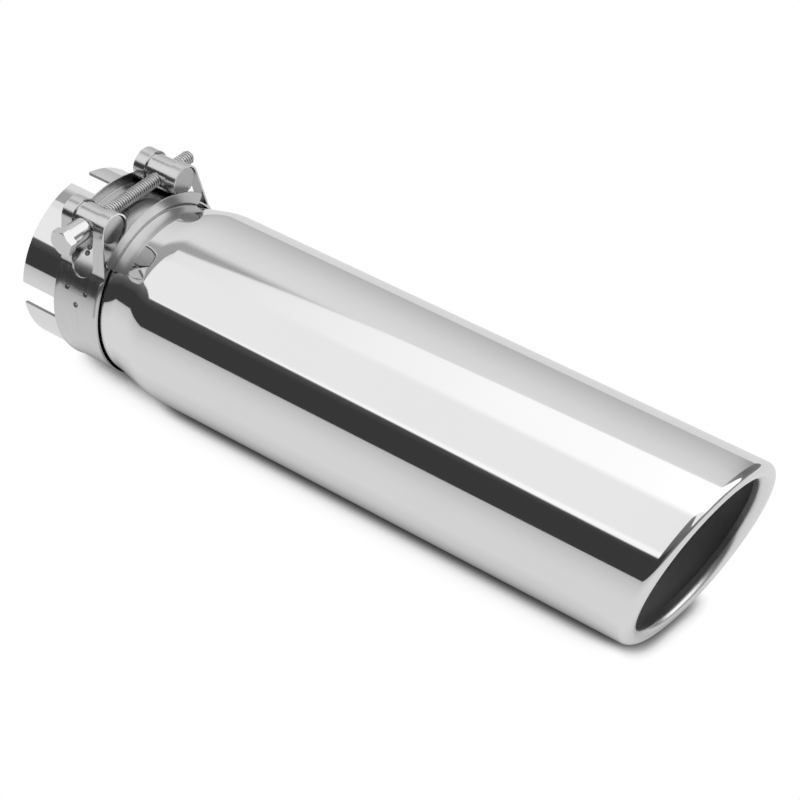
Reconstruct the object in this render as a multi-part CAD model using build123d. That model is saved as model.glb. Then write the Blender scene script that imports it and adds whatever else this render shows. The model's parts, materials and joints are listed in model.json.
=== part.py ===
from build123d import *
import os
from math import acos, asin, atan2, cos, degrees, hypot, radians, sin, sqrt, tan

# Clamp-on exhaust tip. The tube's axis is X, with its inlet end at the origin and
# its outlet towards +X. +Z is up, and the clamp's bolt lies across the top, along Y.

# Tip shell: one polished steel tube with a slotted collar and a rolled-in outlet
inlet_bore = 77.1
shell_wall = 1.5
swage_step = 4.4
collar_length = 47.0
swage_angle = 13.5
neck_radius = 30.0
shoulder_radius = 36.0
axis_length = 331.7
outlet_slant = 16.6
outlet_clocking = 9.5
lip_radius = 3.8
lip_flat = 0.3
lip_return = 5.9
collar_slots = 4
collar_slot_width = 11.0
collar_slot_length = 38.0

# Clamp band: one strip round the collar, looped back over a trunnion at each end
clamp_clocking = 2.0
band_start = 20.7
band_width = 25.4
band_sheet = 0.8
band_edge = 2.0
band_edge_lift = 0.5
loop_width = 23.4
loop_shift = -1.2
loop_rise = 0.95
loop_slot_width = 12.6
loop_slot_lap = 0.2
loop_slot_overrun = 3.2
tail_landing = 37.0
tail_end = 11.5

# Trunnions: two cross bars with the bolt through them
trunnion_diameter = 13.5
trunnion_length = 22.0
trunnion_chamfer = 0.5

# Bridge: a curved channel under the gap in the band, flanges outside the band's edges
bridge_sheet = 0.6
bridge_near = 46.0
bridge_far = 40.0
bridge_flange = 5.8
bridge_corner = 2.0
bridge_bend = 0.5

# Bolt and the plain sleeve under its head
bolt_diameter = 6.35
bolt_past_nut = 8.8
bolt_end_chamfer = 0.7
head_across_flats = 11.1
head_height = 3.8
head_turn = -12.0
head_chamfer = 0.9
sleeve_diameter = 10.4
sleeve_length = 10.4

# Fits
seat_clearance = 0.05
side_clearance = 0.3
loop_clearance = 0.15
bolt_over_bridge = 0.2
bolt_clearance = 0.05
sleeve_gap = 0.1

# Values worked out from those above
collar_radius = inlet_bore / 2 + shell_wall
body_radius = collar_radius + swage_step
swage_bends = neck_radius + shoulder_radius
cone_rise = swage_step - swage_bends * (1 - cos(radians(swage_angle)))
body_start = collar_length + swage_bends * sin(radians(swage_angle)) + cone_rise / tan(radians(swage_angle))
opening_radius = body_radius - 2 * lip_radius - lip_flat
lip_hollow_bevel = (2 - sqrt(2)) * (lip_radius - shell_wall)
trunnion_radius = trunnion_diameter / 2
clamp_x = band_start + band_width / 2
loop_x = clamp_x + loop_shift
band_rise = (bridge_sheet + seat_clearance) / (1 + cos(radians(bridge_near)))
band_inner = collar_radius + seat_clearance + band_rise
band_middle = band_inner + band_sheet / 2
tail_middle = band_middle + band_sheet
loop_middle = trunnion_radius + loop_clearance + band_sheet / 2
reach = band_middle + loop_middle + loop_rise
bridge_crown = collar_radius + seat_clearance + bridge_sheet
trunnion_height = bridge_crown + bolt_over_bridge + bolt_diameter / 2
bearing = degrees(asin((trunnion_height - band_rise) / reach))
trunnion_y = reach * cos(radians(bearing))
loop_start = bearing - degrees(acos((band_middle + loop_middle) / reach))
bolt_hole = bolt_diameter + 2 * bolt_clearance
sleeve_end = -trunnion_y - trunnion_radius - sleeve_gap
head_underside = sleeve_end - sleeve_length
bolt_end = trunnion_y + trunnion_radius + bolt_past_nut
past = 10.0


def ray(angle, length, centre=(0.0, 0.0)):
    """The point at an angle in degrees and a distance from a centre, in a flat sketch."""
    return (centre[0] + length * cos(radians(angle)), centre[1] + length * sin(radians(angle)))


# Tip shell
def turned_blank(inset, x_start, x_end):
    """The tube's form as a solid of revolution, with its surface set in by a distance."""
    inner = collar_radius - inset
    outer = body_radius - inset
    neck_start = (collar_length, inner)
    neck_centre = (collar_length, collar_radius + neck_radius)
    neck_end = ray(swage_angle - 90, neck_radius + inset, neck_centre)
    shoulder_centre = (body_start, body_radius - shoulder_radius)
    shoulder_start = ray(swage_angle + 90, shoulder_radius - inset, shoulder_centre)
    shoulder_end = (body_start, outer)
    outline = Polyline((x_start, 0), (x_start, inner), neck_start)
    outline += TangentArc(neck_start, neck_end, tangent=(1, 0))
    outline += Line(neck_end, shoulder_start)
    outline += TangentArc(shoulder_end, shoulder_start, tangent=(-1, 0))
    outline += Polyline(shoulder_end, (x_end, outer), (x_end, 0), (x_start, 0))
    return revolve(Plane.XZ * make_face(outline), Axis.X)


def outlet_plane(depth):
    """The slanted plane of the outlet, at a depth behind the crest of its lip."""
    across, up = ray(90 - outlet_clocking, sin(radians(outlet_slant)))
    normal = Vector(cos(radians(outlet_slant)), -across, -up)
    return Plane(Vector(axis_length, 0, 0) - normal * depth, z_dir=normal)


def rim_edges(solid, plane):
    """Both edges of the ring-shaped face that lies on the slanted plane."""
    return solid.faces().sort_by(Axis(plane.origin, plane.z_dir))[-1].edges()


def collar_slot():
    """The cutter for one slot, open at the inlet end and round at its other end."""
    straight = collar_slot_length - collar_slot_width / 2
    depth = 4 * shell_wall
    sides = Box(straight + past, collar_slot_width, depth, align=(Align.MAX, Align.CENTER, Align.CENTER))
    end = Cylinder(collar_slot_width / 2, depth)
    return Pos(straight, 0, collar_radius - shell_wall / 2) * (sides + end)


def make_tip_shell():
    x_end = axis_length + 2 * body_radius
    hollow_depth = 3 * lip_radius
    crest = outlet_plane(0)
    lip_inside = outlet_plane(shell_wall)
    along_x = Plane.YZ

    blank = split(turned_blank(0, 0, x_end), bisect_by=crest, keep=Keep.BOTTOM)
    on_plane = (Align.CENTER, Align.CENTER, Align.MIN)
    blank -= along_x * Cylinder(opening_radius, x_end, align=on_plane)
    blank = fillet(rim_edges(blank, crest), lip_radius)

    cavity = split(turned_blank(shell_wall, -past, x_end), bisect_by=lip_inside, keep=Keep.BOTTOM)
    core = along_x * Cylinder(opening_radius + shell_wall, x_end, align=on_plane)
    cavity -= split(core, bisect_by=outlet_plane(hollow_depth), keep=Keep.TOP)
    cavity = chamfer(rim_edges(cavity, lip_inside), lip_hollow_bevel)

    shell = blank - cavity - split(core, bisect_by=outlet_plane(lip_return), keep=Keep.BOTTOM)
    for k in range(collar_slots):
        shell -= Rot(X=k * 360 / collar_slots) * collar_slot()
    return shell


# Clamp band
def strip_round(centre, middle, start, end):
    """A strip bent to an arc about a centre, as a flat section."""
    inside = middle - band_sheet / 2
    outside = middle + band_sheet / 2
    edge = CenterArc(centre, inside, start, end - start)
    edge += Line(ray(end, inside, centre), ray(end, outside, centre))
    edge += CenterArc(centre, outside, end, start - end)
    edge += Line(ray(start, outside, centre), ray(start, inside, centre))
    return make_face(edge)


def strip_along(start, end, thickness=band_sheet):
    """A straight strip between two points, as a flat section."""
    length = hypot(end[0] - start[0], end[1] - start[1])
    angle = degrees(atan2(end[1] - start[1], end[0] - start[0]))
    middle = ((start[0] + end[0]) / 2, (start[1] + end[1]) / 2)
    return Pos(*middle) * Rot(Z=angle) * Rectangle(length, thickness)


def across_loop(section, width):
    """A section in the YZ plane, extruded both ways from the loops' middle."""
    return extrude(Pos(loop_x, 0, 0) * (Plane.YZ * section), width / 2, both=True)


band_centre = (0.0, band_rise)
trunnion_centre = (trunnion_y, trunnion_height)


def make_loop():
    """The strip's end on the +Y side: up round the trunnion, down, and lapped on the band."""
    foot = ray(loop_start, band_middle, band_centre)
    under = ray(loop_start + 180, loop_middle, trunnion_centre)
    landing = ray(tail_landing, tail_middle, band_centre)
    run = (landing[0] - trunnion_centre[0], landing[1] - trunnion_centre[1])
    leaving = degrees(atan2(run[1], run[0])) + degrees(acos(loop_middle / hypot(*run)))
    shoulder = ray(leaving, loop_middle, trunnion_centre)

    loop = across_loop(strip_along(foot, under), loop_width)
    loop += across_loop(strip_round(trunnion_centre, loop_middle, leaving, loop_start + 180), loop_width)
    loop += across_loop(strip_along(shoulder, landing), loop_width)
    loop += across_loop(Pos(*landing) * Circle(band_sheet / 2), loop_width)
    loop += across_loop(strip_round(band_centre, tail_middle, tail_end, tail_landing), loop_width)

    # The slot starts under the trunnion on the gap side and ends round, past the landing
    slot_from = reach - loop_middle + loop_slot_lap
    slot_size = 4 * trunnion_diameter
    above = Pos(*ray(bearing, slot_from + slot_size / 2, band_centre)) * Rot(Z=bearing)
    loop -= across_loop(above * Rectangle(slot_size, slot_size), loop_slot_width)
    leg = Vector(0, landing[0] - shoulder[0], landing[1] - shoulder[1]).normalized()
    slot_foot = Vector(loop_x, *landing) + leg * (loop_slot_overrun - loop_slot_width / 2)
    slot_depth = 6 * band_sheet
    loop -= across_loop(strip_along(shoulder, (slot_foot.Y, slot_foot.Z), slot_depth), loop_slot_width)
    through_leg = Plane(slot_foot, x_dir=(1, 0, 0), z_dir=leg.cross(Vector(1, 0, 0)))
    loop -= through_leg * Cylinder(loop_slot_width / 2, slot_depth)
    return loop


def make_clamp_band():
    """The strip round the collar, its edges turned slightly outwards, with a loop at each end."""
    half = band_width / 2
    fold = half - band_edge
    underside = [(-half, band_edge_lift), (-fold, 0), (fold, 0), (half, band_edge_lift)]
    upper_side = [(x, lift + band_sheet) for x, lift in reversed(underside)]
    section = Pos(clamp_x, band_inner) * make_face(Polyline(*underside, *upper_side, close=True))
    strip = revolve(section, Axis.X, revolution_arc=180 + 2 * loop_start)
    loop = make_loop()
    return Pos(0, 0, band_rise) * Rot(X=180 - loop_start) * strip + loop + mirror(loop, Plane.XZ)


# Bridge
def make_clamp_bridge():
    inside = collar_radius + seat_clearance
    width = band_width + 2 * (side_clearance + bridge_sheet)
    channel = Pos(0, inside + bridge_flange / 2) * Rectangle(width, bridge_flange)
    channel = chamfer(channel.vertices().group_by(Axis.Y)[0], bridge_bend)
    groove = Rectangle(width - 2 * bridge_sheet, bridge_flange)
    channel -= Pos(0, inside + bridge_sheet + bridge_flange / 2) * groove
    section = Pos(clamp_x, 0, 0) * channel
    bridge = Rot(X=90 - bridge_far) * revolve(section, Axis.X, revolution_arc=bridge_far + bridge_near)
    # The outermost corner at each end of the two flanges
    corners = bridge.edges().filter_by(Axis.X).sort_by(lambda e: hypot(e.center().Y, e.center().Z))[-4:]
    return fillet(corners, bridge_corner)


# Trunnions
def make_trunnion(side):
    """A cross bar on one side of the gap, with the bolt's hole through it."""
    bar = chamfer(Cylinder(trunnion_radius, trunnion_length).edges(), trunnion_chamfer)
    hole = Rot(X=90) * Cylinder(bolt_hole / 2, 2 * trunnion_diameter)
    return Pos(loop_x, side * trunnion_y, trunnion_height) * (Rot(Y=90) * bar - hole)


# Bolt and sleeve
def along_bolt(y):
    """The plane across the bolt at a place along it, facing the bolt's end."""
    return Plane((loop_x, y, trunnion_height), x_dir=(1, 0, 0), z_dir=(0, 1, 0))


def make_clamp_bolt():
    on_plane = (Align.CENTER, Align.CENTER, Align.MIN)
    head_top = head_underside - head_height
    hexagon = RegularPolygon(head_across_flats / 2, 6, major_radius=False, rotation=head_turn)
    head = extrude(along_bolt(head_top) * hexagon, head_height)
    rounding = Cylinder(head_across_flats / 2 + head_chamfer, head_height, align=on_plane)
    rounding = chamfer(rounding.edges().group_by(Axis.Z)[0], head_chamfer / 2, head_chamfer)
    head &= along_bolt(head_top) * rounding
    shank = Cylinder(bolt_diameter / 2, bolt_end - head_underside, align=on_plane)
    shank = chamfer(shank.edges().group_by(Axis.Z)[-1], bolt_end_chamfer)
    return head + along_bolt(head_underside) * shank


def make_spacer_sleeve():
    ring = Circle(sleeve_diameter / 2) - Circle(bolt_hole / 2)
    return extrude(along_bolt(head_underside) * ring, sleeve_length)


# The clamp is turned about the tube as one, and each piece is written to its own file
clamp_pieces = {
    "clamp_band": make_clamp_band(),
    "clamp_bridge": make_clamp_bridge(),
    "head_trunnion": make_trunnion(-1),
    "nut_trunnion": make_trunnion(1),
    "clamp_bolt": make_clamp_bolt(),
    "spacer_sleeve": make_spacer_sleeve(),
}
os.makedirs("parts", exist_ok=True)
export_step(make_tip_shell(), "parts/tip_shell.step")
for name, piece in clamp_pieces.items():
    export_step(Rot(X=clamp_clocking) * piece, f"parts/{name}.step")
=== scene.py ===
import json
from math import acos, atan2, cos, hypot, pi, radians, sin, tan

import bpy
from mathutils import Matrix, Vector


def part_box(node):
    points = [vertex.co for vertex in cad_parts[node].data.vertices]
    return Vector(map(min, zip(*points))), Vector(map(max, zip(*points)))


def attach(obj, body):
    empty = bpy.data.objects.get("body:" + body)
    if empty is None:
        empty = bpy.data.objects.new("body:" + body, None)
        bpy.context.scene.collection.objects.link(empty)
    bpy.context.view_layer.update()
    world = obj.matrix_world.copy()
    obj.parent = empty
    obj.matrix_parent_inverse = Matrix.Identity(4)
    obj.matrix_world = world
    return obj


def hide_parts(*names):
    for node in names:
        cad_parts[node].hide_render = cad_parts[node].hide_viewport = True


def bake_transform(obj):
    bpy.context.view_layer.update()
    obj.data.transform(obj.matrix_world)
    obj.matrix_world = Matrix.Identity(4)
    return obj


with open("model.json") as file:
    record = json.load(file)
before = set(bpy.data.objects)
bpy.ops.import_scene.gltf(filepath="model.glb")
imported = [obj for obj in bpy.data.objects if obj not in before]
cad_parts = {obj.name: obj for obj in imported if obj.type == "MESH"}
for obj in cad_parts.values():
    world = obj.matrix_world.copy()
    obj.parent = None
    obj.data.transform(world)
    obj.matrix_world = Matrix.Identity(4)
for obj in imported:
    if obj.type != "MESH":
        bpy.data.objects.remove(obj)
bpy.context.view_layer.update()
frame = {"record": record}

# Tip shell
# One tube of stainless steel, swaged down to a collar at the inlet, cut on a slant at the outlet and
# rolled inwards there, then slotted at the collar and polished to a mirror outside. It is bare inside.
low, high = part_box("tip_shell")
socket = frame["record"]["mounts"][0]["dims"]
body_radius = (high.z - low.z) / 2
shell_wall = 0.0015
collar_radius = socket["r_mm"] / 1000 + shell_wall
collar_length = socket["length_mm"] / 1000
swage_angle = radians(13.5)
neck_radius = 0.030
shoulder_radius = 0.036
swage_bends = neck_radius + shoulder_radius
cone_rise = body_radius - collar_radius - swage_bends * (1 - cos(swage_angle))
body_start = collar_length + swage_bends * sin(swage_angle) + cone_rise / tan(swage_angle)
outlet_slant = radians(16.6)
outlet_clocking = radians(9.5)
axis_length = 0.3317
lip_radius = 0.0038
lip_flat = 0.0003
lip_return = 0.0059

bpy.ops.object.select_all(action="DESELECT")
bpy.ops.mesh.primitive_circle_add(vertices=256, radius=collar_radius, rotation=(0, pi / 2, 0))
shell = bpy.context.object
shell.name = "polished_shell"
bpy.ops.object.transform_apply(rotation=True)
bpy.ops.object.mode_set(mode="EDIT")
bpy.ops.mesh.select_all(action="SELECT")
drawn_to = 0.0
drawn_radius = collar_radius


def draw_tube(x, radius):
    """Extrudes the tube's open end to a place along X and brings it to a radius."""
    global drawn_to, drawn_radius
    bpy.ops.mesh.extrude_region_move(TRANSFORM_OT_translate={"value": (x - drawn_to, 0, 0)})
    ratio = radius / drawn_radius
    bpy.ops.transform.resize(value=(1, ratio, ratio), center_override=(0, 0, 0))
    drawn_to = x
    drawn_radius = radius


draw_tube(collar_length, collar_radius)
bend_steps = 20
for k in range(1, bend_steps + 1):
    bend = swage_angle * k / bend_steps
    draw_tube(collar_length + neck_radius * sin(bend), collar_radius + neck_radius * (1 - cos(bend)))
for k in range(bend_steps + 1):
    bend = swage_angle * (1 - k / bend_steps)
    draw_tube(body_start - shoulder_radius * sin(bend), body_radius - shoulder_radius * (1 - cos(bend)))
draw_tube(axis_length + body_radius, body_radius)

# The slant is cut where the roll starts, and the cut ring is drawn round the roll, ring by ring
outlet_normal = Vector((
    cos(outlet_slant),
    -sin(outlet_slant) * sin(outlet_clocking),
    -sin(outlet_slant) * cos(outlet_clocking),
))
outlet_centre = Vector((axis_length, 0, 0))
bpy.ops.mesh.select_all(action="SELECT")
roll_start = outlet_centre - outlet_normal * lip_radius
bpy.ops.mesh.bisect(plane_co=roll_start, plane_no=outlet_normal, clear_outer=True)
roll_steps = 14
roll = []
for k in range(1, roll_steps + 1):
    turn = pi / 2 * k / roll_steps
    roll.append((lip_radius * (1 - cos(turn)), lip_radius * (1 - sin(turn))))
for k in range(roll_steps + 1):
    turn = pi / 2 * k / roll_steps
    roll.append((lip_radius * (1 + sin(turn)) + lip_flat, lip_radius * (1 - cos(turn))))
roll.append((2 * lip_radius + lip_flat, lip_return))
rolled_in = 0.0
rolled_depth = lip_radius
for inset, depth in roll:
    forwards = (rolled_depth - depth) / cos(outlet_slant)
    bpy.ops.mesh.extrude_region_move(TRANSFORM_OT_translate={"value": (forwards, 0, 0)})
    ratio = (body_radius - inset) / (body_radius - rolled_in)
    ring_centre = (axis_length - depth / cos(outlet_slant), 0, 0)
    bpy.ops.transform.resize(value=(ratio, ratio, ratio), center_override=ring_centre)
    rolled_in = inset
    rolled_depth = depth
bpy.ops.mesh.select_all(action="SELECT")
bpy.ops.mesh.normals_make_consistent(inside=False)
bpy.ops.object.mode_set(mode="OBJECT")


def apply_modifier(piece, kind, **settings):
    """Adds a modifier to a piece, sets it and applies it."""
    bpy.ops.object.select_all(action="DESELECT")
    piece.select_set(True)
    bpy.context.view_layer.objects.active = piece
    modifier = piece.modifiers.new(kind.lower(), kind)
    for setting, value in settings.items():
        setattr(modifier, setting, value)
    bpy.ops.object.modifier_apply(modifier=modifier.name)


def cut_away(piece, cutter, operation="DIFFERENCE"):
    """Cuts a piece with a closed cutter, which is then deleted."""
    apply_modifier(
        piece, "BOOLEAN", operation=operation, solver="EXACT", material_mode="TRANSFER", object=cutter
    )
    bpy.data.objects.remove(cutter)


class Wire:
    """A socket in a material's nodes: sums on it add Math nodes."""

    def __init__(self, tree, socket):
        self.tree = tree
        self.socket = socket

    def node(self, kind, settings=None, inputs=None, output=0):
        """Adds a node with its settings and the values or wires of its sockets, and gives one output."""
        made = self.tree.nodes.new(kind)
        for name, value in (settings or {}).items():
            if name == "stops":
                elements = made.color_ramp.elements
                while len(elements) < len(value):
                    elements.new(0.5)
                for element, (place, level) in zip(elements, value):
                    element.position = place
                    element.color = (level, level, level, 1.0)
            else:
                setattr(made, name, value)
        for name, value in (inputs or {}).items():
            if isinstance(value, Wire):
                self.tree.links.new(value.socket, made.inputs[name])
            else:
                made.inputs[name].default_value = value
        return Wire(self.tree, made.outputs[output])

    def math(self, operation, first, second=0.0):
        return self.node("ShaderNodeMath", {"operation": operation}, {0: first, 1: second})

    def __add__(self, other):
        return self.math("ADD", self, other)

    def __radd__(self, other):
        return self.math("ADD", other, self)

    def __sub__(self, other):
        return self.math("SUBTRACT", self, other)

    def __rsub__(self, other):
        return self.math("SUBTRACT", other, self)

    def __mul__(self, other):
        return self.math("MULTIPLY", self, other)

    def __rmul__(self, other):
        return self.math("MULTIPLY", other, self)


def new_finish(name):
    """A bare metal material: gives it, its shader and a wire of the place on the piece."""
    finish = bpy.data.materials.new(name)
    finish.use_nodes = True
    tree = finish.node_tree
    shader = tree.nodes["Principled BSDF"]
    shader.inputs["Metallic"].default_value = 1.0
    place = Wire(tree, tree.nodes.new("ShaderNodeTexCoord").outputs["Object"])
    return finish, shader, place


def feed(shader, socket, wire):
    wire.tree.links.new(wire.socket, shader.inputs[socket])


def streaks(place, stretch, scale, detail=3.0):
    """Noise drawn out along an axis, as a buffing wheel or a rolling mill leaves it."""
    drawn = place.node("ShaderNodeMapping", {}, {"Vector": place, "Scale": stretch})
    return place.node(
        "ShaderNodeTexNoise", {}, {"Vector": drawn, "Scale": scale, "Detail": detail, "Roughness": 0.6}
    )


def grey(place, level):
    """A wire of numbers as a neutral colour."""
    return place.node("ShaderNodeCombineColor", {}, {"Red": level, "Green": level, "Blue": level})


def soft_step(value, start, end):
    """Rises smoothly from 0 to 1 between two values."""
    return value.node(
        "ShaderNodeMapRange", {"interpolation_type": "SMOOTHSTEP"}, {"Value": value, 1: start, 2: end}
    )


def part_of(place, axis):
    """A place's or a direction's part along an axis."""
    return place.node("ShaderNodeSeparateXYZ", {}, {0: place}, axis)


def reach_of(first, second):
    """The distance that two parts at right angles make together."""
    return first.math("SQRT", first * first + second * second)


polish, polish_shader, place = new_finish("mirror_polish")
buffing = streaks(place, (3.0, 60.0, 60.0), 9.0)
cloudy = streaks(place, (1.0, 1.0, 1.0), 26.0)
feed(polish_shader, "Base Color", grey(place, 0.86 + 0.03 * (cloudy - 0.5)))
# The buffing wheel doesn't reach the roll's inner half, which stays satin
lip_inside = body_radius - 2 * lip_radius - lip_flat
satin_from = lip_inside + 0.4 * lip_radius
satin_to = lip_inside + 0.9 * lip_radius
buffed_part = soft_step(reach_of(part_of(place, "Y"), part_of(place, "Z")), satin_from, satin_to)
buffed = 0.05 + 0.05 * (buffing - 0.5) + 0.03 * (cloudy - 0.5)
feed(polish_shader, "Roughness", buffed + 0.26 * (1.0 - buffed_part))

bare, bare_shader, place = new_finish("bare_inside")
scale_marks = streaks(place, (12.0, 2.0, 2.0), 18.0)
bare_shader.inputs["Metallic"].default_value = 0.25
feed(bare_shader, "Base Color", grey(place, 0.36 + 0.10 * (scale_marks - 0.5)))
feed(bare_shader, "Roughness", 0.5 + 0.20 * (scale_marks - 0.5))

sheared, sheared_shader, place = new_finish("sheared_edge")
tearing = streaks(place, (40.0, 6.0, 6.0), 12.0)
feed(sheared_shader, "Base Color", grey(place, 0.34 + 0.2 * (tearing - 0.5)))
sheared_shader.inputs["Roughness"].default_value = 0.4
shell.data.materials.append(polish)
shell.data.materials.append(bare)
apply_modifier(
    shell, "SOLIDIFY", thickness=shell_wall, offset=-1.0, use_even_offset=True, material_offset=1
)

# Four slots, each a round-ended cutter drawn out past the inlet and copied round the collar
slot_width = 0.011
slot_length = 0.038
slot_straight = slot_length - slot_width / 2


def select_points(piece, wanted):
    """Selects the vertices of a piece whose place meets a test, and leaves it in edit mode."""
    bpy.ops.object.mode_set(mode="EDIT")
    bpy.ops.mesh.select_mode(type="VERT")
    bpy.ops.mesh.select_all(action="DESELECT")
    bpy.ops.object.mode_set(mode="OBJECT")
    for vertex in piece.data.vertices:
        vertex.select = wanted(vertex.co)
    bpy.ops.object.mode_set(mode="EDIT")


def round_ended_cutter(width, depth, end, pull, tilt=0.0):
    """A cutter for a slot with one round end, drawn out from there; its depth is tilted about X."""
    bpy.ops.object.select_all(action="DESELECT")
    bpy.ops.mesh.primitive_cylinder_add(
        vertices=64, radius=width / 2, depth=depth, location=end, rotation=(tilt, 0, 0)
    )
    cutter = bpy.context.object
    bpy.ops.object.transform_apply(location=True, rotation=True)
    select_points(cutter, lambda co: (co - end).dot(pull.normalized()) > width / 100)
    bpy.ops.transform.translate(value=pull)
    bpy.ops.object.mode_set(mode="OBJECT")
    return cutter


slot_end = Vector((slot_straight, 0, collar_radius - shell_wall / 2))
slot_cutter = round_ended_cutter(slot_width, 4 * shell_wall, slot_end, Vector((-2 * slot_straight, 0, 0)))
bpy.ops.object.mode_set(mode="EDIT")
bpy.ops.mesh.select_all(action="SELECT")
bpy.ops.mesh.spin(steps=3, dupli=True, angle=3 * pi / 2, center=(0, 0, 0), axis=(1, 0, 0))
bpy.ops.object.mode_set(mode="OBJECT")
slot_cutter.data.materials.append(sheared)
cut_away(shell, slot_cutter)


def soften_edges(piece, width, segments=2):
    """Rounds a piece's sharp edges a little and shades it by its larger faces."""
    apply_modifier(
        piece, "BEVEL", width=width, segments=segments, limit_method="ANGLE", angle_limit=radians(40)
    )
    bpy.ops.object.shade_smooth_by_angle(angle=radians(50))
    apply_modifier(piece, "WEIGHTED_NORMAL", mode="FACE_AREA", weight=100, keep_sharp=True)


soften_edges(shell, 0.0002)
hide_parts("tip_shell")
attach(shell, "tip")

# Clamp band
# A stainless strip round the collar with its edges turned out. Each end is wrapped over a cross bar,
# brought down and spot-welded to the strip, with a slot for the bolt.
bolt_joint = frame["record"]["behaviour"]["joints"][0]
clamp_clocking = atan2(bolt_joint["axis"][2], bolt_joint["axis"][1])
unclocked = Matrix.Rotation(-clamp_clocking, 3, "X")
band_low, band_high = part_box("clamp_band")
band_width = band_high.x - band_low.x
clamp_x = (band_low.x + band_high.x) / 2
nut_low, nut_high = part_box("nut_trunnion")
bar_length = nut_high.x - nut_low.x
loop_x = (nut_low.x + nut_high.x) / 2
nut_place = unclocked @ ((nut_low + nut_high) / 2)
bar_centre = (nut_place.y, nut_place.z)
bar_radius = 0.00675
band_sheet = 0.0008
band_edge = 0.002
band_edge_lift = 0.0005
seat_clearance = 0.00005
loop_clearance = 0.00015
bridge_sheet = 0.0006
bridge_near = radians(46)
loop_width = 0.0234
loop_slot_width = 0.0126
loop_slot_lap = 0.0002
loop_slot_overrun = 0.0037
slot_x = 0.033
tail_landing = radians(37)
tail_end = radians(10.8)
tail_step = radians(31.3)
tail_spread = radians(0.95)
tail_sides = (0.0229, 0.0442)
landing_sides = (0.0204, 0.0461)
bar_sides = (0.0198, 0.0440)
band_rise = (bridge_sheet + seat_clearance) / (1 + cos(bridge_near))
band_centre = (0.0, band_rise)
band_middle = collar_radius + seat_clearance + band_rise + band_sheet / 2
tail_middle = band_middle + band_sheet
loop_middle = bar_radius + loop_clearance + band_sheet / 2
bar_reach = hypot(bar_centre[0], bar_centre[1] - band_rise)
bar_bearing = atan2(bar_centre[1] - band_rise, bar_centre[0])
loop_start = bar_bearing - acos((band_middle + loop_middle) / bar_reach)

strip_finish, strip_shader, place = new_finish("bright_strip")
rolled = streaks(place, (90.0, 3.0, 3.0), 10.0)
feed(strip_shader, "Base Color", grey(place, 0.72 + 0.12 * (rolled - 0.5)))
feed(strip_shader, "Roughness", 0.19 + 0.12 * (rolled - 0.5))
weld_finish, weld_shader, place = new_finish("weld_tint")
tint = streaks(place, (1.0, 1.0, 1.0), 400.0)
feed(weld_shader, "Base Color", grey(place, 0.2 + 0.2 * (tint - 0.5)))
weld_shader.inputs["Roughness"].default_value = 0.4


def ray(angle, length, centre=(0.0, 0.0)):
    """The point (y, z) at an angle from +Y and a distance from a centre."""
    return (centre[0] + length * cos(angle), centre[1] + length * sin(angle))


def start_strip(name, finish, width, middle, place):
    """Starts a strip with one edge along X about a middle, at a place (y, z)."""
    bpy.ops.object.select_all(action="DESELECT")
    bpy.ops.mesh.primitive_plane_add(size=width, location=(middle, *place))
    strip = bpy.context.object
    strip.name = name
    strip.data.materials.append(finish)
    bpy.ops.object.transform_apply(location=True)
    bpy.ops.object.mode_set(mode="EDIT")
    bpy.ops.mesh.select_all(action="SELECT")
    bpy.ops.transform.resize(value=(1, 0, 1), center_override=(middle, *place))
    bpy.ops.mesh.remove_doubles(threshold=band_sheet / 100)
    return strip


def bend_strip(centre, turn, steps):
    """Draws the strip's open edge round a centre (y, z)."""
    for step in range(steps):
        bpy.ops.mesh.extrude_region_move(TRANSFORM_OT_translate={"value": (0, 0, 0)})
        bpy.ops.transform.rotate(value=-turn / steps, orient_axis="X", center_override=(0, *centre))


def run_strip(start, end):
    """Draws the strip's open edge straight on."""
    bpy.ops.mesh.extrude_region_move(
        TRANSFORM_OT_translate={"value": (0, end[0] - start[0], end[1] - start[1])}
    )


def thicken(piece, thickness):
    """Turns a drawn surface into sheet, half of its thickness on each side."""
    bpy.ops.mesh.select_all(action="SELECT")
    bpy.ops.mesh.normals_make_consistent(inside=False)
    bpy.ops.object.mode_set(mode="OBJECT")
    apply_modifier(piece, "SOLIDIFY", thickness=thickness, offset=0.0, use_even_offset=True)


def turn_with_clamp(piece):
    """Turns a finished clamp piece about the tube to the clamp's angle."""
    bpy.ops.object.select_all(action="DESELECT")
    piece.select_set(True)
    bpy.context.view_layer.objects.active = piece
    piece.rotation_euler.x = clamp_clocking
    bpy.ops.object.transform_apply(rotation=True)


weld_dish = (0.0014, 0.0002, weld_finish)
weld_heart = (0.0006, 0.00024, strip_finish)


def weld_marks(piece, places, middle):
    """Presses spot welds into a strip at each (distance along X, angle): tinted, with a bright heart."""
    for dish_radius, dish_depth, finish in (weld_dish, weld_heart):
        tip_radius = (dish_radius**2 + dish_depth**2) / (2 * dish_depth)
        for along, angle in places:
            electrode = ray(angle, middle + band_sheet / 2 + tip_radius - dish_depth, band_centre)
            bpy.ops.mesh.primitive_uv_sphere_add(
                segments=48, ring_count=32, radius=tip_radius, location=(loop_x + along, *electrode)
            )
            bpy.context.object.data.materials.append(finish)
            cut_away(piece, bpy.context.object)


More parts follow.
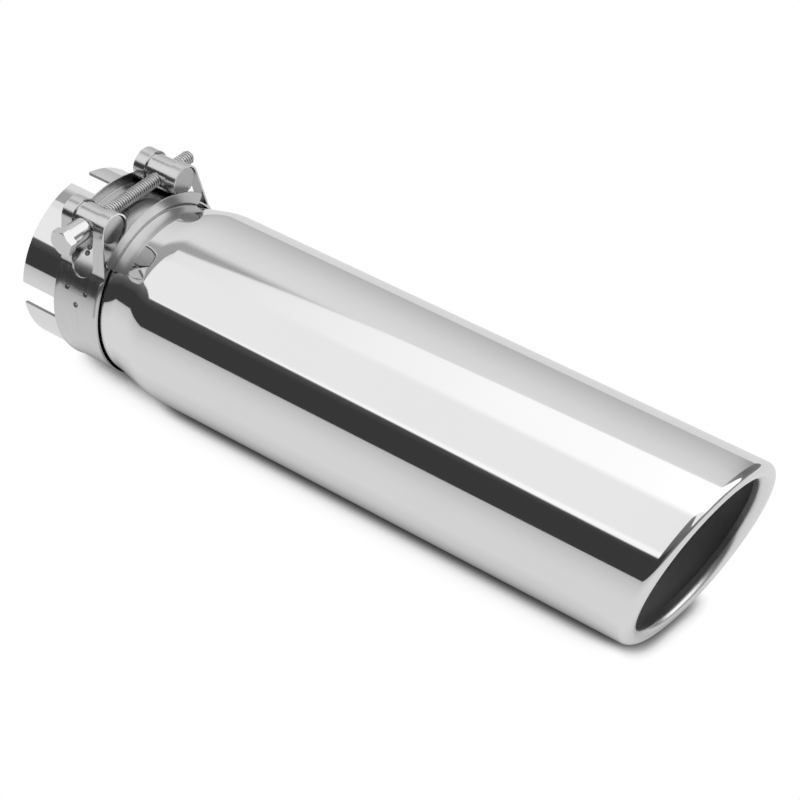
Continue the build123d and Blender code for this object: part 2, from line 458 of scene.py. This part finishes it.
# The far loop, from the end of its tail: up the leg, over the cross bar and down to the band
foot = ray(loop_start, band_middle, band_centre)
under = ray(loop_start + pi, loop_middle, bar_centre)
landing = ray(tail_landing, tail_middle, band_centre)
bar_to_landing = (landing[0] - bar_centre[0], landing[1] - bar_centre[1])
leaving = atan2(bar_to_landing[1], bar_to_landing[0]) + acos(loop_middle / hypot(*bar_to_landing))
loop_shoulder = ray(leaving, loop_middle, bar_centre)
tail_width = tail_sides[1] - tail_sides[0]
tail_x = (tail_sides[0] + tail_sides[1]) / 2
tail_start = ray(tail_end, tail_middle, band_centre)
nut_loop = start_strip("nut_loop", strip_finish, tail_width, tail_x, tail_start)
sides = tail_sides


def spread_strip(new_sides):
    """Brings the two ends of the strip's open edge to places along X."""
    global sides
    ratio = (new_sides[1] - new_sides[0]) / (sides[1] - sides[0])
    bpy.ops.transform.resize(value=(ratio, 1, 1), center_override=(0, 0, 0))
    bpy.ops.transform.translate(value=(new_sides[0] - ratio * sides[0], 0, 0))
    sides = new_sides


bend_strip(band_centre, tail_step - tail_end, 12)
spreads = (0.12, 0.33, 0.62, 1.0)
for spread in spreads:
    bend_strip(band_centre, tail_spread, 1)
    spread_strip([narrow + (wide - narrow) * spread for narrow, wide in zip(tail_sides, landing_sides)])
bend_strip(band_centre, tail_landing - tail_step - len(spreads) * tail_spread, 1)
run_strip(landing, loop_shoulder)
spread_strip(bar_sides)
bend_strip(bar_centre, pi - leaving, 36)
bend_strip(bar_centre, loop_start / 12, 1)
spread_strip((loop_x - loop_width / 2, loop_x + loop_width / 2))
bend_strip(bar_centre, loop_start * 11 / 12, 11)
run_strip(under, foot)
landing_bend = 0.0011
select_points(nut_loop, lambda co: hypot(co.y - landing[0], co.z - landing[1]) < band_sheet / 10)
bpy.ops.mesh.bevel(offset=landing_bend, segments=4, affect="EDGES")
thicken(nut_loop, band_sheet)

slot_from = bar_reach - loop_middle + loop_slot_lap
slot_block = 8 * bar_radius
bpy.ops.object.select_all(action="DESELECT")
bpy.ops.mesh.primitive_cube_add(
    size=1.0,
    location=(loop_x, *ray(bar_bearing, slot_from + slot_block / 2, band_centre)),
    rotation=(bar_bearing, 0, 0),
    scale=(loop_slot_width, slot_block, slot_block),
)
cut_away(nut_loop, bpy.context.object)
leg = Vector((loop_x - slot_x, loop_shoulder[0] - landing[0], loop_shoulder[1] - landing[1]))
slot_foot = Vector((slot_x, *landing)) + leg.normalized() * (loop_slot_width / 2 - loop_slot_overrun)
slot_cutter = round_ended_cutter(loop_slot_width, 6 * band_sheet, slot_foot, leg, leaving - pi / 2)
cut_away(nut_loop, slot_cutter)
tail_welds = [(-0.0045, radians(22.7)), (0.0062, radians(23.2)), (0.0016, radians(14.0))]
weld_marks(nut_loop, tail_welds, tail_middle)

# The near loop is the far one's mirror image, joined to the strip round the collar
bpy.ops.object.select_all(action="DESELECT")
nut_loop.select_set(True)
bpy.context.view_layer.objects.active = nut_loop
bpy.ops.object.duplicate()
head_loop = bpy.context.object
head_loop.scale.y = -1.0
bpy.ops.object.transform_apply(scale=True)
bpy.ops.object.mode_set(mode="EDIT")
bpy.ops.mesh.select_all(action="SELECT")
bpy.ops.mesh.normals_make_consistent(inside=False)
bpy.ops.object.mode_set(mode="OBJECT")

strip_start = ray(pi - loop_start, band_middle, band_centre)
clamp_strip = start_strip("clamp_strip", strip_finish, band_width, clamp_x, strip_start)
bend_strip(band_centre, pi + 2 * loop_start, 144)
for side in (-1, 1):
    fold = (clamp_x + side * (band_width / 2 - band_edge), 0, 0)
    bpy.ops.mesh.select_all(action="SELECT")
    bpy.ops.mesh.bisect(plane_co=fold, plane_no=(1, 0, 0))
select_points(clamp_strip, lambda co: abs(co.x - clamp_x) > band_width / 2 - band_edge / 2)
turned_out = (band_middle + band_edge_lift) / band_middle
bpy.ops.transform.resize(value=(1, turned_out, turned_out), center_override=(clamp_x, *band_centre))
thicken(clamp_strip, band_sheet)
strip_welds = [(-0.0004, pi - radians(46.3)), (-0.0007, pi - radians(50.0))]
weld_marks(clamp_strip, strip_welds, band_middle)
bpy.ops.object.select_all(action="DESELECT")
head_loop.select_set(True)
clamp_strip.select_set(True)
bpy.context.view_layer.objects.active = clamp_strip
bpy.ops.object.join()

for piece in (nut_loop, clamp_strip):
    soften_edges(piece, 0.00015)
    turn_with_clamp(piece)
    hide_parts("clamp_band")
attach(clamp_strip, "tip")
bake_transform(nut_loop)

# Bridge
# A channel pressed from thin stainless sheet and curved to the collar, loose under the gap in the band.
bridge_flange = 0.0058
bridge_far = radians(40)
bridge_corner = 0.002
bridge_bend = 0.0007
bridge_side = 0.0003
bridge_inner = collar_radius + seat_clearance
web_middle = bridge_inner + bridge_sheet / 2
web_width = band_width + 2 * bridge_side + bridge_sheet
sheet_finish, sheet_shader, place = new_finish("dull_sheet")
pressed = streaks(place, (60.0, 4.0, 4.0), 12.0)
feed(sheet_shader, "Base Color", grey(place, 0.60 + 0.20 * (pressed - 0.5)))
feed(sheet_shader, "Roughness", 0.24 + 0.14 * (pressed - 0.5))
bridge_start = ray(pi / 2 - bridge_far, web_middle)
bridge = start_strip("bridge_channel", sheet_finish, web_width, clamp_x, bridge_start)
bend_strip((0, 0), bridge_far + bridge_near, 24)


def select_lengthwise(piece, reach):
    """Selects the edges of a piece that run round the tube within a reach of its axis."""
    bpy.ops.mesh.select_mode(type="EDGE")
    bpy.ops.mesh.select_all(action="DESELECT")
    bpy.ops.object.mode_set(mode="OBJECT")
    for edge in piece.data.edges:
        first, last = (piece.data.vertices[index].co for index in edge.vertices)
        level = abs(first.x - last.x) < band_sheet / 10
        edge.select = level and max(first.yz.length, last.yz.length) < reach
    bpy.ops.object.mode_set(mode="EDIT")


web_reach = bridge_inner + bridge_sheet
select_lengthwise(bridge, web_reach)
bpy.ops.mesh.extrude_region_move(TRANSFORM_OT_translate={"value": (0, 0, 0)})
raised = (bridge_inner + bridge_flange) / web_middle
bpy.ops.transform.resize(value=(1, raised, raised), center_override=(clamp_x, 0, 0))
flange_top = bridge_inner + bridge_flange
corners = [ray(pi / 2 + bridge_near, flange_top), ray(pi / 2 - bridge_far, flange_top)]
select_points(
    bridge, lambda co: any(hypot(co.y - y, co.z - z) < bridge_sheet for y, z in corners)
)
bpy.ops.mesh.bevel(offset=bridge_corner, segments=8, affect="VERTICES")
select_lengthwise(bridge, web_reach)
bpy.ops.mesh.bevel(offset=bridge_bend, segments=4, affect="EDGES")
thicken(bridge, bridge_sheet)
soften_edges(bridge, 0.0002)
turn_with_clamp(bridge)
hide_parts("clamp_bridge")
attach(bridge, "tip")

# Cross bars
# Two turned stainless bars with sawn ends, the near one drilled for the bolt and the far one tapped.
bar_rounding = 0.0005
bolt_radius = 0.003175
bar_hole_radius = 0.0036
bar_finish, bar_shader, place = new_finish("turned_bar")
turning = streaks(place, (160.0, 4.0, 4.0), 8.0)
feed(bar_shader, "Base Color", grey(place, 0.72 + 0.12 * (turning - 0.5)))
feed(bar_shader, "Roughness", 0.16 + 0.14 * (turning - 0.5))
sawn_finish, sawn_shader, place = new_finish("sawn_end")
sawing = streaks(place, (4.0, 12.0, 150.0), 10.0)
feed(sawn_shader, "Base Color", grey(place, 0.56 + 0.26 * (sawing - 0.5)))
feed(sawn_shader, "Roughness", 0.34 + 0.2 * (sawing - 0.5))


def make_bar(name, side):
    """A cross bar on one side of the gap, with the bolt's countersunk hole through it."""
    bpy.ops.object.select_all(action="DESELECT")
    bpy.ops.mesh.primitive_cylinder_add(
        vertices=96,
        radius=bar_radius,
        depth=bar_length,
        location=(loop_x, side * bar_centre[0], bar_centre[1]),
        rotation=(0, pi / 2, 0),
    )
    bar = bpy.context.object
    bar.name = name
    bpy.ops.object.transform_apply(location=True, rotation=True)
    bar.data.materials.append(bar_finish)
    bar.data.materials.append(sawn_finish)
    for face in bar.data.polygons:
        face.material_index = 1 if abs(face.normal.x) > 0.9 else 0
    by_angle = {"limit_method": "ANGLE", "angle_limit": radians(40), "material": 0}
    apply_modifier(bar, "BEVEL", width=bar_rounding, segments=3, **by_angle)
    bpy.ops.object.select_all(action="DESELECT")
    bpy.ops.mesh.primitive_cylinder_add(
        vertices=64,
        radius=bar_hole_radius,
        depth=4 * bar_radius,
        location=(loop_x, side * bar_centre[0], bar_centre[1]),
        rotation=(pi / 2, 0, 0),
    )
    cut_away(bar, bpy.context.object)
    apply_modifier(bar, "BEVEL", width=bar_rounding / 2, segments=2, **by_angle)
    bpy.ops.object.shade_smooth_by_angle(angle=radians(50))
    apply_modifier(bar, "WEIGHTED_NORMAL", mode="FACE_AREA", weight=100, keep_sharp=True)
    turn_with_clamp(bar)
    return bar


head_bar = make_bar("head_bar", -1)
nut_bar = make_bar("nut_bar", 1)
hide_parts("head_trunnion")
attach(head_bar, "tip")
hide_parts("nut_trunnion")
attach(nut_bar, "nut")

# Bolt
# A quarter-inch stainless bolt with a rolled coarse thread up to its hexagon head.
thread_pitch = 0.00127
thread_root = 0.0024
bolt_past_nut = 0.0088
bolt_end_chamfer = 0.0007
sleeve_length = 0.0104
sleeve_gap = 0.0001
head_height = 0.0038
head_across_flats = 0.0111
head_turn = radians(18)
head_chamfer = 0.0009
sleeve_end = -bar_centre[0] - bar_radius - sleeve_gap
head_underside = sleeve_end - sleeve_length
bolt_end = bar_centre[0] + bar_radius + bolt_past_nut
head_finish, head_shader, place = new_finish("forged_head")
drawing = streaks(place, (30.0, 30.0, 30.0), 18.0)
feed(head_shader, "Base Color", grey(place, 0.73 + 0.10 * (drawing - 0.5)))
feed(head_shader, "Roughness", 0.17 + 0.10 * (drawing - 0.5))
bolt_finish, bolt_shader, place = new_finish("rolled_thread")
beside = part_of(place, "X") - loop_x
unturned = part_of(place, "Z") * cos(clamp_clocking) - part_of(place, "Y") * sin(clamp_clocking)
off_axis = reach_of(beside, unturned - bar_centre[1])
# The colour darkens towards the bolt's axis: painted shade in the thread's grooves.
groove_shade_stops = [(0.0, 0.8), (0.70, 0.8), (0.74, 0.3), (0.85, 0.4), (0.90, 1.0)]
painted_groove_shade = place.node("ShaderNodeValToRGB", {"stops": groove_shade_stops}, {"Fac": off_axis * (1 / bolt_radius)})
feed(bolt_shader, "Base Color", painted_groove_shade)
bolt_shader.inputs["Roughness"].default_value = 0.42

thread_start = head_underside - 2 * thread_pitch
thread_turns = int((bolt_end - thread_start) / thread_pitch) + 3
bpy.ops.object.select_all(action="DESELECT")
bpy.ops.mesh.primitive_plane_add(size=thread_pitch)
bolt = bpy.context.object
bolt.name = "threaded_bolt"
bolt.data.materials.append(bolt_finish)
bpy.ops.object.mode_set(mode="EDIT")
bpy.ops.mesh.select_mode(type="VERT")
bpy.ops.mesh.select_all(action="SELECT")
bpy.ops.mesh.merge(type="CENTER")
bpy.ops.mesh.select_all(action="SELECT")
bpy.ops.transform.translate(value=(thread_root, 0, 0))
thread_rise = bolt_radius - thread_root
thread_flank = 0.38
thread_crest = 0.12
half_root = (1 - thread_crest) / 2 - thread_flank
profile = (
    (0, half_root),
    (thread_rise, thread_flank),
    (0, thread_crest),
    (-thread_rise, thread_flank),
    (0, half_root),
)
for rise, run in profile:
    bpy.ops.mesh.extrude_region_move(TRANSFORM_OT_translate={"value": (rise, 0, run * thread_pitch)})
bpy.ops.object.mode_set(mode="OBJECT")
apply_modifier(
    bolt,
    "SCREW",
    axis="Z",
    angle=2 * pi,
    screw_offset=thread_pitch,
    iterations=thread_turns,
    steps=32,
    render_steps=32,
    use_merge_vertices=True,
    merge_threshold=thread_pitch / 1000,
)
bpy.ops.object.mode_set(mode="EDIT")
bpy.ops.mesh.select_all(action="SELECT")
bpy.ops.mesh.remove_doubles(threshold=thread_pitch / 1000)
bpy.ops.mesh.fill_holes(sides=0)
bpy.ops.mesh.select_all(action="SELECT")
bpy.ops.mesh.normals_make_consistent(inside=False)
bpy.ops.object.mode_set(mode="OBJECT")
bolt.location = (loop_x, thread_start, bar_centre[1])
bolt.rotation_euler = (-pi / 2, 0, 0)
bpy.ops.object.transform_apply(location=True, rotation=True)


def bolt_rod(finish, radius, start, end, corners, turn=0.0):
    """A rod along the bolt's axis between two places."""
    bpy.ops.object.select_all(action="DESELECT")
    bpy.ops.mesh.primitive_cylinder_add(
        vertices=corners,
        radius=radius,
        depth=end - start,
        location=(loop_x, (start + end) / 2, bar_centre[1]),
        rotation=(-pi / 2, turn, 0),
    )
    rod = bpy.context.object
    rod.data.materials.append(finish)
    bpy.ops.object.transform_apply(location=True, rotation=True)
    return rod


def taper_end(rod, place, depth, width, radius):
    """Draws a rod on from a place along it, with a taper."""
    select_points(rod, lambda co: abs(co.y - place) < band_sheet / 10)
    bpy.ops.mesh.extrude_region_move(TRANSFORM_OT_translate={"value": (0, depth, 0)})
    ratio = 1 - width / radius
    bpy.ops.transform.resize(value=(ratio, 1, ratio), center_override=(loop_x, 0, bar_centre[1]))
    bpy.ops.object.mode_set(mode="OBJECT")


blank = bolt_rod(bolt_finish, bolt_radius, head_underside, bolt_end - bolt_end_chamfer, 64)
taper_end(blank, bolt_end - bolt_end_chamfer, bolt_end_chamfer, bolt_end_chamfer, bolt_radius)
cut_away(bolt, blank, "INTERSECT")
head_top = head_underside - head_height
head_corner = head_across_flats / 2 / cos(pi / 6)
head = bolt_rod(head_finish, head_corner, head_top, head_underside, 6, head_turn)
rounding_radius = head_across_flats / 2 + head_chamfer
taper_start = head_top + head_chamfer / 2
rounding = bolt_rod(head_finish, rounding_radius, taper_start, head_underside, 96)
taper_end(rounding, taper_start, head_top - taper_start, head_chamfer, rounding_radius)
cut_away(head, rounding, "INTERSECT")
soften_edges(head, 0.0002)
bpy.ops.object.select_all(action="DESELECT")
bolt.select_set(True)
bpy.context.view_layer.objects.active = bolt
bpy.ops.object.shade_smooth_by_angle(angle=radians(35))
head.select_set(True)
bpy.ops.object.join()
turn_with_clamp(bolt)
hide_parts("clamp_bolt")
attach(bolt, "bolt")

# Sleeve
# A short turned tube between the bolt's head and the near bar.
sleeve_radius = 0.0052
sleeve = bolt_rod(bar_finish, sleeve_radius, head_underside, sleeve_end, 96)
sleeve.name = "sleeve_tube"
sleeve_overrun = 0.001
bore_from = head_underside - sleeve_overrun
bore_to = sleeve_end + sleeve_overrun
sleeve_bore = bolt_rod(bar_finish, bar_hole_radius, bore_from, bore_to, 64)
cut_away(sleeve, sleeve_bore)
soften_edges(sleeve, 0.0003)
turn_with_clamp(sleeve)
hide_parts("spacer_sleeve")
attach(sleeve, "bolt")

# Studio
# A white paper floor, which ends before the camera, a white ceiling panel over the tip, which reaches
# down in front of its inlet half, a dim room in front and a grey wall behind.
bpy.ops.object.select_all(action="DESELECT")
bpy.ops.mesh.primitive_plane_add(size=1.0)
floor = bpy.context.object
floor.name = "studio_floor"
floor_left, floor_right, floor_front, floor_back = -2.5, 2.5, -0.75, 3.5
floor.scale = (floor_right - floor_left, floor_back - floor_front, 1.0)
floor.location = ((floor_left + floor_right) / 2, (floor_front + floor_back) / 2, low.z)
bpy.ops.object.transform_apply(location=True, scale=True)


def start_paper(name):
    """White paper: gives the material and its wires for the camera's rays and mirrored ones."""
    paper = bpy.data.materials.new(name)
    paper.use_nodes = True
    tree = paper.node_tree
    tree.nodes.remove(tree.nodes["Principled BSDF"])
    rays = tree.nodes.new("ShaderNodeLightPath")
    return paper, Wire(tree, rays.outputs["Is Camera Ray"]), Wire(tree, rays.outputs["Is Glossy Ray"])


def lay_paper(paper, viewed, mirrored, level):
    """Shows the paper at a level to the camera and in mirrors, and leaves it matt for other light."""
    matt = viewed.node("ShaderNodeBsdfDiffuse", {}, {"Color": (0.8, 0.8, 0.8, 1.0)})
    lit = viewed.node("ShaderNodeEmission", {}, {"Color": grey(viewed, level)})
    sheet = viewed.node("ShaderNodeMixShader", {}, {"Fac": viewed + mirrored, 1: matt, 2: lit})
    viewed.tree.links.new(sheet.socket, viewed.tree.nodes["Material Output"].inputs["Surface"])
    floor.data.materials.append(paper)


mirrored_white = 0.75
paper, viewed, mirrored = start_paper("white_paper")
on_paper = Wire(viewed.tree, viewed.tree.nodes.new("ShaderNodeTexCoord").outputs["Object"])
from_front = 1.0 - (1 / floor_front) * part_of(on_paper, "Y")
# In mirrors the paper glows darker towards its front edge: painted falloff of the panel's light.
painted_falloff_stops = [(0.0, 0.66), (0.43, 0.78), (0.69, 0.87), (0.86, 1.0)]
painted_panel_falloff = viewed.node("ShaderNodeValToRGB", {"stops": painted_falloff_stops}, {"Fac": from_front})
lay_paper(paper, viewed, mirrored, viewed + mirrored_white * painted_panel_falloff * mirrored)

# Round the tip the paper is shaded by how far the tip closes it off
paper, viewed, mirrored = start_paper("shaded_paper")
near = viewed.node("ShaderNodeAmbientOcclusion", {"samples": 16}, {"Distance": 0.0075}, "AO")
wide = viewed.node("ShaderNodeAmbientOcclusion", {"samples": 64}, {"Distance": 0.15}, "AO")
near_stops = [(0.3, 0.15), (0.43, 0.26), (0.57, 0.5), (0.70, 0.8), (0.95, 1.0)]
near_shade = viewed.node("ShaderNodeValToRGB", {"stops": near_stops}, {"Fac": near})
wide_stops = [
    (0.14, 0.07), (0.18, 0.19), (0.21, 0.37), (0.24, 0.60), (0.27, 0.81), (0.31, 0.94), (0.38, 1.0),
]
wide_shade = viewed.node("ShaderNodeValToRGB", {"stops": wide_stops}, {"Fac": wide})
mirrored_stops = [(0.0, 0.03), (0.15, 0.1), (0.3, 0.32), (0.5, 0.62), (0.7, mirrored_white)]
mirrored_shade = viewed.node("ShaderNodeValToRGB", {"stops": mirrored_stops}, {"Fac": wide})
lay_paper(paper, viewed, mirrored, near_shade * wide_shade * viewed + mirrored_shade * mirrored)
bpy.ops.object.mode_set(mode="EDIT")
shade_reach = 0.03
patch_sides = (low.x - shade_reach, high.x + shade_reach, low.y - shade_reach, high.y + shade_reach)
for place, direction in zip(patch_sides, ((1, 0, 0), (1, 0, 0), (0, 1, 0), (0, 1, 0))):
    bpy.ops.mesh.select_all(action="SELECT")
    bpy.ops.mesh.bisect(plane_co=[place * part for part in direction], plane_no=direction)
bpy.ops.object.mode_set(mode="OBJECT")
for face in floor.data.polygons:
    within = low.x - shade_reach < face.center.x < high.x + shade_reach
    face.material_index = 1 if within and abs(face.center.y) < high.y + shade_reach else 0

world = bpy.data.worlds.new("studio")
bpy.context.scene.world = world
world.use_nodes = True
tree = world.node_tree
toward = Wire(tree, tree.nodes.new("ShaderNodeTexCoord").outputs["Generated"])
along = part_of(toward, "X")
across = part_of(toward, "Y")
upward = part_of(toward, "Z")
turn = toward.math("FRACT", toward.math("ARCTAN2", upward, across) * (1 / (2 * pi)) + 1.0)


def round_room(stops):
    """Brightness by the angle in degrees about the tube, from the level of the wall behind upwards."""
    places = [(angle / 360, level) for angle, level in stops]
    return turn.node("ShaderNodeValToRGB", {"stops": places}, {0: turn})


def level_along(stops):
    """A level by the direction's part along the tube, from -1 at the inlet to 1 at the outlet."""
    places = [((part + 1) / 2, level) for part, level in stops]
    return along.node("ShaderNodeValToRGB", {"stops": places}, {0: (along + 1.0) * 0.5})


def panel_edge(stops):
    """An edge of the panel: its angle in degrees about the tube, by the direction's part along it."""
    return level_along([(part, angle / 360) for part, angle in stops])


panel_back = panel_edge([
    (-0.84, 138), (-0.80, 120), (-0.75, 107), (-0.70, 98), (-0.65, 94), (-0.60, 91), (-0.57, 85),
    (-0.54, 75), (-0.50, 66), (-0.45, 62), (-0.38, 59), (0.0, 54), (0.2, 45), (0.4, 35), (0.6, 28),
    (0.7, 22), (0.8, 40), (0.9, 90),
])
front_half = panel_edge([(-0.84, 138), (-0.80, 141), (-0.70, 144), (-0.58, 151.5), (-0.40, 156.5)])
outlet_half = panel_edge([
    (-0.37, 105), (0.0, 107), (0.2, 112), (0.4, 118), (0.6, 125), (0.8, 130), (0.9, 90),
])
past_lip = soft_step(along, -0.38, -0.37)
panel_front = front_half * (1.0 - past_lip) + outlet_half * past_lip
panel = soft_step(turn - panel_back, 0.0, 1.2 / 360) * soft_step(panel_front - turn, 0.0, 2.0 / 360)
overhead = level_along([(-0.6, 0.83), (-0.5, 1.03), (-0.45, 1.1), (-0.40, 1.14), (-0.36, 1.25)])
in_front = round_room([(104, 0.93), (148.5, 0.93), (150.5, 1.1)])
lowered = soft_step(turn, 98 / 360, 106 / 360)
panel_light = overhead * (1.0 - lowered) + in_front * lowered
inlet_side = round_room([
    (0, 0.52), (45, 0.75), (62, 0.80), (69, 0.78), (77, 0.40), (92, 0.38), (125, 0.34), (140, 0.2),
    (149, 0.1), (160, 0.045), (190, 0.045), (360, 0.52),
])
outlet_side = round_room([
    (0, 0.2), (30, 0.15), (45, 0.25), (57, 0.33), (105, 0.3), (112, 0.2), (150, 0.13), (157, 0.045),
    (185, 0.045), (360, 0.2),
])
outlet_end = round_room([(0, 0.35), (30, 0.25), (125, 0.25), (140, 0.15), (185, 0.2), (360, 0.35)])
past_end = soft_step(along, 0.3, 0.9)
outlet_room = outlet_side * (1.0 - past_end) + outlet_end * past_end
room = inlet_side * (1.0 - past_lip) + outlet_room * past_lip
light = room * (1.0 - panel) + panel_light * panel
camera_ray = Wire(tree, tree.nodes.new("ShaderNodeLightPath").outputs["Is Camera Ray"])
shown = grey(toward, light * (1.0 - camera_ray) + camera_ray)
tree.links.new(shown.socket, tree.nodes["Background"].inputs["Color"])

# Camera
# The view of the photograph: above the outlet's side, looking down along the tube's front.
camera_data = bpy.data.cameras.new("camera")
camera = bpy.data.objects.new("camera", camera_data)
bpy.context.scene.collection.objects.link(camera)
bpy.context.scene.camera = camera
camera_azimuth = radians(38.66)
camera_elevation = radians(38.19)
camera_data.sensor_width = 36.0
camera_data.lens = 119.6
camera.location = (0.7233, -0.6785, 0.6871)
camera.rotation_euler = (pi / 2 - camera_elevation, 0, camera_azimuth)

bpy.context.scene.view_settings.view_transform = "Standard"
